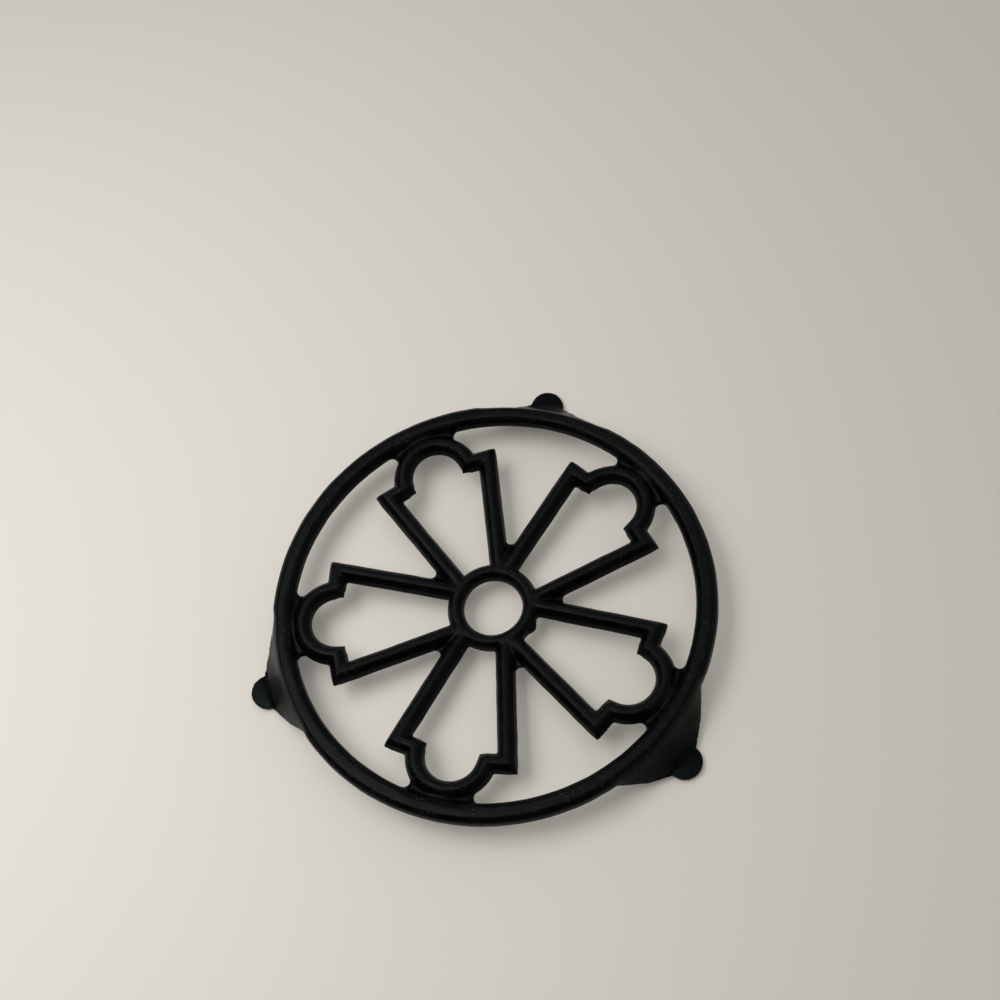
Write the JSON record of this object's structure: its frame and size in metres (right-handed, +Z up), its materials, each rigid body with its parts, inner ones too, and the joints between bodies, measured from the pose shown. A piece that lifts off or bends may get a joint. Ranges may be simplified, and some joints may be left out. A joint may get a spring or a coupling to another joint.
{
  "type": "trivet",
  "caption": "Round cast-iron trivet with an open wheel of keyhole tracery petals around a hub ring, inside a rounded rim, on bracket feet with flat toes.",
  "frame": {"origin": "where the hub axis meets the table plane under the toes", "axes": "+Z up along the hub axis; +X along the axis of the first petal, which is also within 9 degrees of the first foot"},
  "size_m": [0.2147, 0.21, 0.02],
  "materials": {
    "iron": "satin black"
  },
  "bodies": {
    "root": {"arch_1": "iron", "arch_2": "iron", "arch_3": "iron", "arch_4": "iron", "arch_5": "iron", "foot_1": "iron", "foot_2": "iron", "foot_3": "iron", "hub_ring": "iron", "outer_rim": "iron", "spoke_1_left": "iron", "spoke_1_right": "iron", "spoke_2_left": "iron", "spoke_2_right": "iron", "spoke_3_left": "iron", "spoke_3_right": "iron", "spoke_4_left": "iron", "spoke_4_right": "iron", "spoke_5_left": "iron", "spoke_5_right": "iron"}
  },
  "joints": []
}
